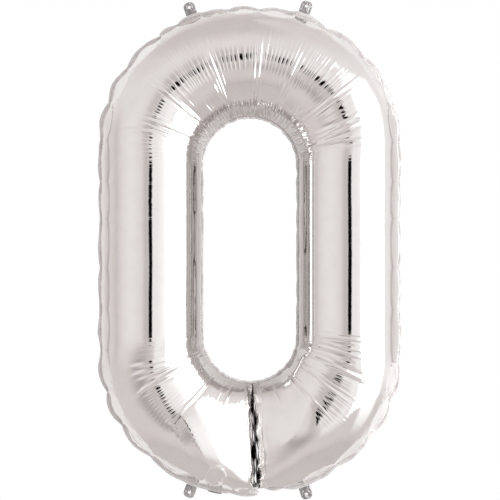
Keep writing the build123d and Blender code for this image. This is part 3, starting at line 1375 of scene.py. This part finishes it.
class Nodes:
    """Adds nodes to a tree."""

    def __init__(self, tree: bpy.types.NodeTree) -> None:
        """Start on an empty tree."""
        self.tree = tree
        tree.nodes.clear()

    def add(
        self, kind: str, settings: dict[str, object] | None = None, **inputs: object
    ) -> bpy.types.Node:
        """Add a node of any other kind.

        Args:
            kind: Blender's type name.
            settings: properties, which are set before the sockets.
            inputs: a value, a Wire or an output socket for each named socket, with spaces
                written as underscores.

        Returns:
            The node.
        """
        node = self.tree.nodes.new(kind)
        for key, value in (settings or {}).items():
            setattr(node, key, value)
        for key, value in inputs.items():
            socket = next(s for s in node.inputs if s.name == key.replace("_", " ") and s.enabled)
            if isinstance(value, Wire):
                self.tree.links.new(value.socket, socket)
            elif isinstance(value, bpy.types.NodeSocket):
                self.tree.links.new(value, socket)
            else:
                socket.default_value = value
        return node

    def wire(self, node: bpy.types.Node, output: str) -> Wire:
        """One output of a node, as a Wire."""
        return Wire(self.tree, node.outputs[output])

    def noise(self, place: bpy.types.NodeSocket, scale: float, detail: float = 2.0) -> Wire:
        """Noise between 0 and 1, with a scale in patches per metre."""
        node = self.add("ShaderNodeTexNoise", Vector=place, Scale=scale, Detail=detail)
        return self.wire(node, "Fac")

    def tint(self, factor: Wire, low: Colour | bpy.types.NodeSocket, high: Colour) -> bpy.types.NodeSocket:
        """A colour between low and high."""
        node = self.add("ShaderNodeMix", {"data_type": "RGBA"}, Factor=factor, A=low, B=high)
        return next(s for s in node.outputs if s.enabled)


@dataclass(frozen=True)
class MetalFilm:
    """Metallised film: a mirror with a faint warmth, slight haze and a very fine unevenness."""

    name: str
    low: Colour = (0.90, 0.88, 0.87, 1)
    high: Colour = (0.95, 0.94, 0.93, 1)
    roughness: float = 0.03
    haze: float = 0.035
    grain_scale: float = 420.0
    grain_depth: float = 0.00002
    crush: float = 0.0
    # where painted shade darkens the film near the inner weld: spring, near and far
    inner_shade_span: tuple[float, float, float] | None = None
    inner_shade_tone: float = 0.70
    slit: tuple[float, float] | None = None
    slit_half: float = 0.016
    slit_crush: float = 95.0

    def crinkled(self, nodes: Nodes, place: bpy.types.NodeSocket) -> Wire:
        """How crinkled the film is along the slit, from the line through (0, -spring) that leans.

        The distance from that line is |x cos(lean) + (z + spring) sin(lean)|, below the counter.

        Args:
            nodes: the material's nodes.
            place: the point, in object coordinates.

        Returns:
            The height that the crinkles add.
        """
        spring, lean = self.slit
        split = nodes.add("ShaderNodeSeparateXYZ", Vector=place)
        x, z = nodes.wire(split, "X"), nodes.wire(split, "Z")
        across = x * math.cos(lean) + (z + spring) * math.sin(lean)
        close = 1 - across.maths("ABSOLUTE", across).step(0.45 * self.slit_half, self.slit_half)
        below = (z * -1.0).step(spring, spring + 0.06)
        crinkle = nodes.noise(place, 190.0, 3.0) + 0.6 * nodes.noise(place, 420.0, 2.0)
        return close * below * crinkle * self.slit_crush

    def painted_inner_shade(
        self, nodes: Nodes, place: bpy.types.NodeSocket, colour: bpy.types.NodeSocket
    ) -> bpy.types.NodeSocket:
        """Darken a colour towards the inner weld: painted shade, standing in for the inter-reflections
        among the crinkles there.

        The distance from the middle line is the square root of x^2 + max(|z| - spring, 0)^2.

        Args:
            nodes: the material's nodes.
            place: the point, in object coordinates.
            colour: the colour to darken.

        Returns:
            The darkened colour.
        """
        spring, near, far = self.inner_shade_span
        split = nodes.add("ShaderNodeSeparateXYZ", Vector=place)
        x, z = nodes.wire(split, "X"), nodes.wire(split, "Z")
        beyond = z.maths("ABSOLUTE", z) - spring
        beyond = beyond.maths("MAXIMUM", beyond, 0.0)
        squared = x * x + beyond * beyond
        distance = squared.maths("SQRT", squared)
        close = 1 - distance.step(near, far)
        # painted shade: the base colour is darkened near the inner weld, with a noise, in place of the
        # shade among the crinkles
        painted_shade = close * (0.7 + 0.6 * nodes.noise(place, 60.0, 3.0))
        tone = (self.inner_shade_tone, self.inner_shade_tone * 0.985, self.inner_shade_tone * 0.98, 1)
        settings = {"data_type": "RGBA", "blend_type": "MULTIPLY"}
        node = nodes.add("ShaderNodeMix", settings, Factor=painted_shade, A=colour, B=tone)
        return next(s for s in node.outputs if s.enabled)

    def material(self) -> bpy.types.Material:
        """Make the material.

        Returns:
            The new material.
        """
        material = bpy.data.materials.new(self.name)
        material.use_nodes = True
        nodes = Nodes(material.node_tree)
        place = nodes.add("ShaderNodeTexCoord").outputs["Object"]
        broad = nodes.noise(place, 9.0, 3.0)
        fine = nodes.noise(place, self.grain_scale, 3.0)
        patch = nodes.noise(place, 45.0, 4.0).step(0.35, 0.65)
        height = fine + self.crush * nodes.noise(place, 150.0, 5.0) if self.crush else fine
        height = height + self.crinkled(nodes, place) if self.slit else height
        bump = nodes.add("ShaderNodeBump", Height=height, Strength=1.0, Distance=self.grain_depth)
        colour = nodes.tint(0.6 * broad + 0.4 * patch, self.low, self.high)
        shader = nodes.add(
            "ShaderNodeBsdfPrincipled",
            Base_Color=self.painted_inner_shade(nodes, place, colour) if self.inner_shade_span else colour,
            Metallic=1.0,
            Roughness=self.roughness + (0.5 * broad + 0.5 * patch) * self.haze,
            Normal=bump.outputs["Normal"],
        )
        nodes.add("ShaderNodeOutputMaterial", Surface=shader.outputs["BSDF"])
        return material


@dataclass(frozen=True)
class ClearFilm:
    """The filling valve's clear plastic film, faintly milky where it is creased."""

    name: str
    clear: Colour = (0.86, 0.87, 0.88, 1)
    milky: Colour = (0.95, 0.95, 0.95, 1)

    def material(self) -> bpy.types.Material:
        """Make the material.

        Returns:
            The new material.
        """
        material = bpy.data.materials.new(self.name)
        material.use_nodes = True
        nodes = Nodes(material.node_tree)
        place = nodes.add("ShaderNodeTexCoord").outputs["Object"]
        crease = nodes.noise(place, 160.0, 4.0)
        bump = nodes.add("ShaderNodeBump", Height=crease, Strength=0.6, Distance=0.0002)
        shader = nodes.add(
            "ShaderNodeBsdfPrincipled",
            Base_Color=nodes.tint(crease, self.clear, self.milky),
            Roughness=0.12 + 0.25 * crease,
            Alpha=0.35 + 0.4 * crease.step(0.45, 0.75),
            Normal=bump.outputs["Normal"],
        )
        nodes.add("ShaderNodeOutputMaterial", Surface=shader.outputs["BSDF"])
        return material


def dress(piece: bpy.types.Object, material: bpy.types.Material) -> None:
    """Give a piece one material, in place of any it has."""
    piece.data.materials.clear()
    piece.data.materials.append(material)


# --- studio --------------------------------------------------------------------------------------


@dataclass
class Studio:
    """A pale room with one tall softbox on the right and the dark spot where the camera stands."""

    distance: float = 8.0
    view_height: float = 0.880
    sensor: float = 36.0
    softbox_azimuth: float = 57.0
    softbox_distance: float = 1.3
    softbox_width: float = 1.30
    softbox_low: float = -0.75
    softbox_high: float = 0.84
    softbox_radiance: float = 1.45
    floor_height: float = -2.6
    floor_radius: float = 2.3
    glow_level: float = 1.15

    def camera(self) -> None:
        """A long lens, level with the middle of the counter and square to the front."""
        data = bpy.data.cameras.new("camera")
        data.sensor_width = self.sensor
        data.lens = self.sensor * self.distance / self.view_height
        data.clip_end = 60.0
        camera = bpy.data.objects.new("camera", data)
        camera.location = (0, -self.distance, 0)
        camera.rotation_euler = (math.pi / 2, 0, 0)
        bpy.context.scene.collection.objects.link(camera)
        bpy.context.scene.camera = camera

    def softbox(self) -> None:
        """A tall rectangular light to the right of the camera, turned towards the balloon."""
        width, height = self.softbox_width, self.softbox_high - self.softbox_low
        data = bpy.data.lights.new("softbox", "AREA")
        data.shape = "RECTANGLE"
        data.size, data.size_y = width, height
        data.energy = self.softbox_radiance * math.pi * width * height
        light = bpy.data.objects.new("softbox", data)
        turn = self.softbox_azimuth * DEG
        x, y = math.sin(turn) * self.softbox_distance, -math.cos(turn) * self.softbox_distance
        light.location = (x, y, (self.softbox_high + self.softbox_low) / 2)
        light.rotation_euler = (math.pi / 2, 0, turn)
        bpy.context.scene.collection.objects.link(light)

    def walls(self, azimuth: Wire) -> Wire:
        """The walls' brightness: greyer on the left, with a dim strip at each side of the back.

        Args:
            azimuth: degrees from the camera, positive to its right.

        Returns:
            The brightness at the balloon's own height.
        """
        wide = azimuth.maths("ABSOLUTE", azimuth)
        left = 0.71 + 0.12 * azimuth.hump(-45, 40)
        left = left - 0.15 * azimuth.hump(-9, 13) - 0.08 * azimuth.hump(-84, 16)
        right = 0.74 + 0.15 * azimuth.step(2, 7) * (1 - azimuth.step(84, 130))
        right = right + 0.12 * azimuth.hump(29, 16)
        level = left + (right - left) * azimuth.step(-2, 4)
        level = level + 0.10 * wide.hump(150, 22) - 0.14 * wide.step(160, 176)
        return level - 0.24 * wide.hump(119, 17)

    def ceiling(self, azimuth: Wire, elevation: Wire, behind: Wire) -> Wire:
        """The ceiling's brightness: darker overhead, lighter on the right and at the back.

        Args:
            azimuth: degrees from the camera, positive to its right.
            elevation: degrees above level.
            behind: 1 behind the balloon, 0 on the camera's side.

        Returns:
            The brightness well above level.
        """
        level = 0.78 + 0.10 * azimuth.step(5, 40) * (1 - azimuth.step(90, 150))
        return level - 0.16 * elevation.step(28, 66) + 0.12 * behind

    def ground(self, azimuth: Wire, below: Wire, behind: Wire) -> Wire:
        """The brightness from below: a dim patch on the left, lighter on the right and at the back.

        Args:
            azimuth: degrees from the camera, positive to its right.
            below: degrees below level.
            behind: 1 behind the balloon, 0 on the camera's side.

        Returns:
            The brightness well below level.
        """
        level = 0.68 - 0.25 * below.hump(16, 15) * azimuth.hump(-24, 38)
        level = level - 0.15 * below.step(34, 58)
        level = level + 0.26 * azimuth.step(6, 16) * (1 - below.step(10, 27))
        return level + 0.17 * behind

    def glow(self, azimuth: Wire, elevation: Wire, below: Wire) -> Wire:
        """How much of the softbox's bright cloth is seen: its near edge slopes away downwards.

        Args:
            azimuth: degrees from the camera, positive to its right.
            elevation: degrees above level.
            below: degrees below level.

        Returns:
            1 on the cloth, 0 beside it.
        """
        sloping = azimuth - 0.75 * below.maths("MAXIMUM", below, 0.0)
        across = sloping.step(26, 36) * (1 - azimuth.step(77, 90))
        return across * (1 - below.step(24, 44)) * (1 - elevation.step(32, 36))

    def spot(self, azimuth: Wire, elevation: Wire) -> Wire:
        """How much of a dark spot is seen: one where the camera stands, one straight behind.

        Args:
            azimuth: degrees from the camera, positive to its right.
            elevation: degrees above level.

        Returns:
            1 in a spot, 0 outside.
        """
        wide = azimuth.maths("ABSOLUTE", azimuth)
        spots = (azimuth.hump(0, 7.8) + wide.hump(180, 6.5)) * elevation.hump(0, 13)
        return spots.step(0.3, 0.7)

    def room(self) -> None:
        """The room's brightness by direction, and white behind the balloon."""
        world = bpy.data.worlds.new("room")
        world.use_nodes = True
        bpy.context.scene.world = world
        nodes = Nodes(world.node_tree)
        direction = nodes.add("ShaderNodeTexCoord").outputs["Generated"]
        split = nodes.add("ShaderNodeSeparateXYZ", Vector=direction)
        x, y, z = (nodes.wire(split, axis) for axis in "XYZ")
        azimuth = x.maths("ARCTAN2", x, y * -1.0) * (1 / DEG)
        elevation = z.maths("ARCSINE", z) * (1 / DEG)
        below = elevation * -1.0
        behind = y.step(0.10, 0.42)
        level = self.walls(azimuth)
        level = level + (self.ceiling(azimuth, elevation, behind) - level) * elevation.step(8, 24)
        level = level + (self.ground(azimuth, below, behind) - level) * below.step(2, 14)
        level = level + (self.glow_level - level) * self.glow(azimuth, elevation, below)
        level = level * (1 - self.spot(azimuth, elevation))
        pale = level.step(0.62, 0.98)
        colour = nodes.add(
            "ShaderNodeCombineColor",
            Red=level,
            Green=level * (0.925 + 0.06 * pale),
            Blue=level * (0.910 + 0.07 * pale),
        ).outputs["Color"]
        white = nodes.wire(nodes.add("ShaderNodeLightPath"), "Is Camera Ray")
        seen = nodes.tint(white, colour, (1, 1, 1, 1))
        background = nodes.add("ShaderNodeBackground", Color=seen, Strength=1.0)
        nodes.add("ShaderNodeOutputWorld", Surface=background.outputs["Background"])

    def floor(self) -> None:
        """A plain pale round floor, well below the hanging balloon."""
        turn = np.linspace(0, 2 * math.pi, 65)[:-1]
        rings = np.array([0.02, 0.25, 0.5, 0.75, 1.0]) * self.floor_radius
        radius, angle = np.meshgrid(rings, turn, indexing="ij")
        height = np.full_like(radius, self.floor_height)
        points = np.stack([radius * np.cos(angle), radius * np.sin(angle), height], axis=-1)
        faces = grid_faces(*radius.shape, closed_columns=True)
        floor = add_piece("floor", points.reshape(-1, 3), faces)
        material = bpy.data.materials.new("floor")
        material.use_nodes = True
        nodes = Nodes(material.node_tree)
        place = nodes.add("ShaderNodeTexCoord").outputs["Object"]
        tone = nodes.tint(nodes.noise(place, 3.0), (0.72, 0.70, 0.69, 1), (0.76, 0.74, 0.73, 1))
        shader = nodes.add("ShaderNodeBsdfPrincipled", Base_Color=tone, Roughness=0.7)
        nodes.add("ShaderNodeOutputMaterial", Surface=shader.outputs["BSDF"])
        dress(floor, material)

    def build(self) -> None:
        """Set up the whole studio."""
        bpy.context.scene.view_settings.view_transform = "Standard"
        self.camera()
        self.softbox()
        self.room()
        self.floor()


# --- the balloon ---------------------------------------------------------------------------------


@dataclass
class Balloon:
    """The inflated body: both film panels and the welds between them."""

    ring: Ring
    seams: Seamwork
    foil: bpy.types.Material
    weld: bpy.types.Material
    inner_rim: float = 5.0 * MM

    def front(self) -> FoilPanel:
        """The front panel, with the creases that this balloon shows.

        Returns:
            The panel, not built yet.
        """
        return FoilPanel(
            "front_foil",
            Face.FRONT,
            self.ring,
            self.seams,
            seed=5,
            creases=fanned(
                (
                    Crease(21.0, 1.1 * MM, -0.95, 0.15),
                    Crease(39.0, 1.6 * MM, -0.95, 0.45),
                    Crease(65.5, 1.3 * MM, -0.95, 0.30),
                    Crease(84.5, 1.5 * MM, -0.95, 0.36),
                    Crease(82.0, 1.0 * MM, -0.10, 0.36, lean=-8 * MM),
                    Crease(110.0, 1.8 * MM, -0.95, 0.34, lean=5 * MM),
                    Crease(139.0, 1.6 * MM, -0.95, 0.32, lean=4 * MM),
                    Crease(159.0, 1.3 * MM, -0.95, 0.20),
                    Crease(202.0, 1.4 * MM, -0.95, 0.12),
                    Crease(228.0, 1.9 * MM, -0.95, 0.00),
                    Crease(243.0, 1.0 * MM, -0.95, -0.45),
                    Crease(250.0, 1.5 * MM, -0.95, -0.40),
                    Crease(-66.0, 0.9 * MM, -0.95, -0.35),
                    Crease(-45.5, 1.6 * MM, -0.85, 0.12),
                    Crease(-33.0, 1.6 * MM, -0.60, 0.22, lean=-12 * MM),
                    Crease(-10.0, 1.3 * MM, -0.60, 0.25, lean=-14 * MM),
                    Crease(-2.0, 1.4 * MM, -0.50, 0.35, lean=-10 * MM),
                ),
                seed=31,
            )
            + leg_end_creases(seed=33),
            folds=(
                Fold((-0.124, -0.276), (-0.064, -0.396), 2.6 * MM, 7.5 * MM),
                Fold((-0.143, -0.296), (-0.082, -0.402), 1.7 * MM, 6 * MM),
                Fold((-0.139, -0.392), (-0.078, -0.397), 1.2 * MM, 5 * MM),
                Fold((0.118, -0.262), (0.052, -0.352), 1.4 * MM, 11 * MM),
            ),
            bubble=(-0.060, -0.399),
        )

    def back(self) -> FoilPanel:
        """The back panel, creased in the same manner in places of its own.

        Returns:
            The panel, not built yet.
        """
        return FoilPanel(
            "back_foil",
            Face.BACK,
            self.ring,
            self.seams,
            seed=9,
            creases=fanned(
                tuple(
                    Crease(angle, depth * MM)
                    for angle, depth in (
                        (15.0, 0.8), (34.0, 1.4), (58.0, 1.7), (79.0, 1.2), (103.0, 1.8), (128.0, 1.5),
                        (150.0, 1.0), (199.0, 0.9), (221.0, 1.7), (243.0, 1.2), (-60.0, 1.3),
                        (-39.0, 1.7), (-18.0, 0.9),
                    )
                ),
                seed=32,
            )
            + leg_end_creases(seed=34),
        )

    def build(self) -> None:
        """Make and dress every piece of the body."""
        outer = RimBand("outer_weld", Weld.OUTER, self.ring, self.seams, self.ring.rim)
        inner = RimBand("inner_weld", Weld.INNER, self.ring, self.seams, self.inner_rim)
        closing = ClosingWeld("closing_weld", self.ring, self.seams)
        for maker, node, slot, material in (
            (outer, "outer_seam", "weld", self.weld),
            (inner, "inner_seam", "weld", self.weld),
            (closing, "closing_seam", "weld", self.weld),
            (self.front(), "front_panel", "foil", self.foil),
            (self.back(), "back_panel", "foil", self.foil),
        ):
            piece = maker.build()
            dress(piece, material)
            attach(piece, "balloon")
            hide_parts(node)
            slot == "foil"


@dataclass
class Fittings:
    """What hangs on the rim: four hanging tabs, and the filling tail with its valve."""

    ring: Ring
    foil: bpy.types.Material
    tab: bpy.types.Material
    valve: bpy.types.Material
    tab_left: float = -102.0 * MM
    tab_right: float = 95.0 * MM
    tail_x: float = -62.0 * MM
    tab_seed: int = 61
    tail_seed: int = 71

    def tabs(self) -> None:
        """Make the four tabs, each on its own body."""
        places = {"left": self.tab_left, "right": self.tab_right}
        for row, (end, side) in enumerate((("top", 1), ("bottom", -1))):
            for column, (hand, x) in enumerate(places.items()):
                where = f"{end}_{hand}"
                place = RimPlace(x, side, self.ring)
                seed = self.tab_seed + 2 * row + column
                piece = HangTab(f"tab_{where}_film", place, seed).build()
                dress(piece, self.tab)
                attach(piece, f"tab_{where}")
                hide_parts(f"hang_tab_{where}")

    def tail(self) -> None:
        """Make the tail's two films, and dress the valve's four."""
        place = RimPlace(self.tail_x, -1, self.ring)
        films = (("tail_outer", 1, "tail_front_film"), ("tail_inner", -1, "tail_back_film"))
        for name, face, node in films:
            piece = TailFilm(name, place, face, self.tail_seed + face).build()
            dress(piece, self.foil)
            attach(piece, "tail")
            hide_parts(node)
        for name in ("valve_front_film", "valve_back_film", "valve_front_inlet", "valve_back_inlet"):
            dress(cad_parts[name], self.valve)
            LOG.info("%s: dressed", name)

    def build(self) -> None:
        """Make and dress every fitting."""
        self.tabs()
        self.tail()


def main() -> None:
    """Build the studio and every piece, in order."""
    logging.basicConfig(level=logging.INFO, format="%(name)s: %(message)s")
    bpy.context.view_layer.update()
    Studio().build()
    ring = Ring()
    foil = MetalFilm(
        "foil",
        # painted shade on the foil from 4 to 34 mm beyond the inner weld
        inner_shade_span=(ring.spring, ring.near + 4 * MM, ring.near + 34 * MM),
        slit=(ring.spring, ring.closing_lean),
    ).material()
    weld = MetalFilm(
        "weld",
        low=(0.70, 0.685, 0.68, 1),
        high=(0.98, 0.965, 0.96, 1),
        roughness=0.50,
        haze=0.16,
        grain_scale=900.0,
    ).material()
    # The tabs' film is given a much darker colour than the foil: painted shade for their crumples.
    tab = MetalFilm(
        "tab",
        low=(0.20, 0.20, 0.20, 1),
        high=(0.66, 0.65, 0.65, 1),
        roughness=0.16,
        haze=0.14,
        grain_scale=700.0,
        grain_depth=0.0003,
        crush=2.0,
    ).material()
    valve = ClearFilm("valve").material()
    Balloon(ring, Seamwork(ring), foil, weld).build()
    Fittings(ring, foil, tab, valve).build()


if __name__ == "__main__":
    main()
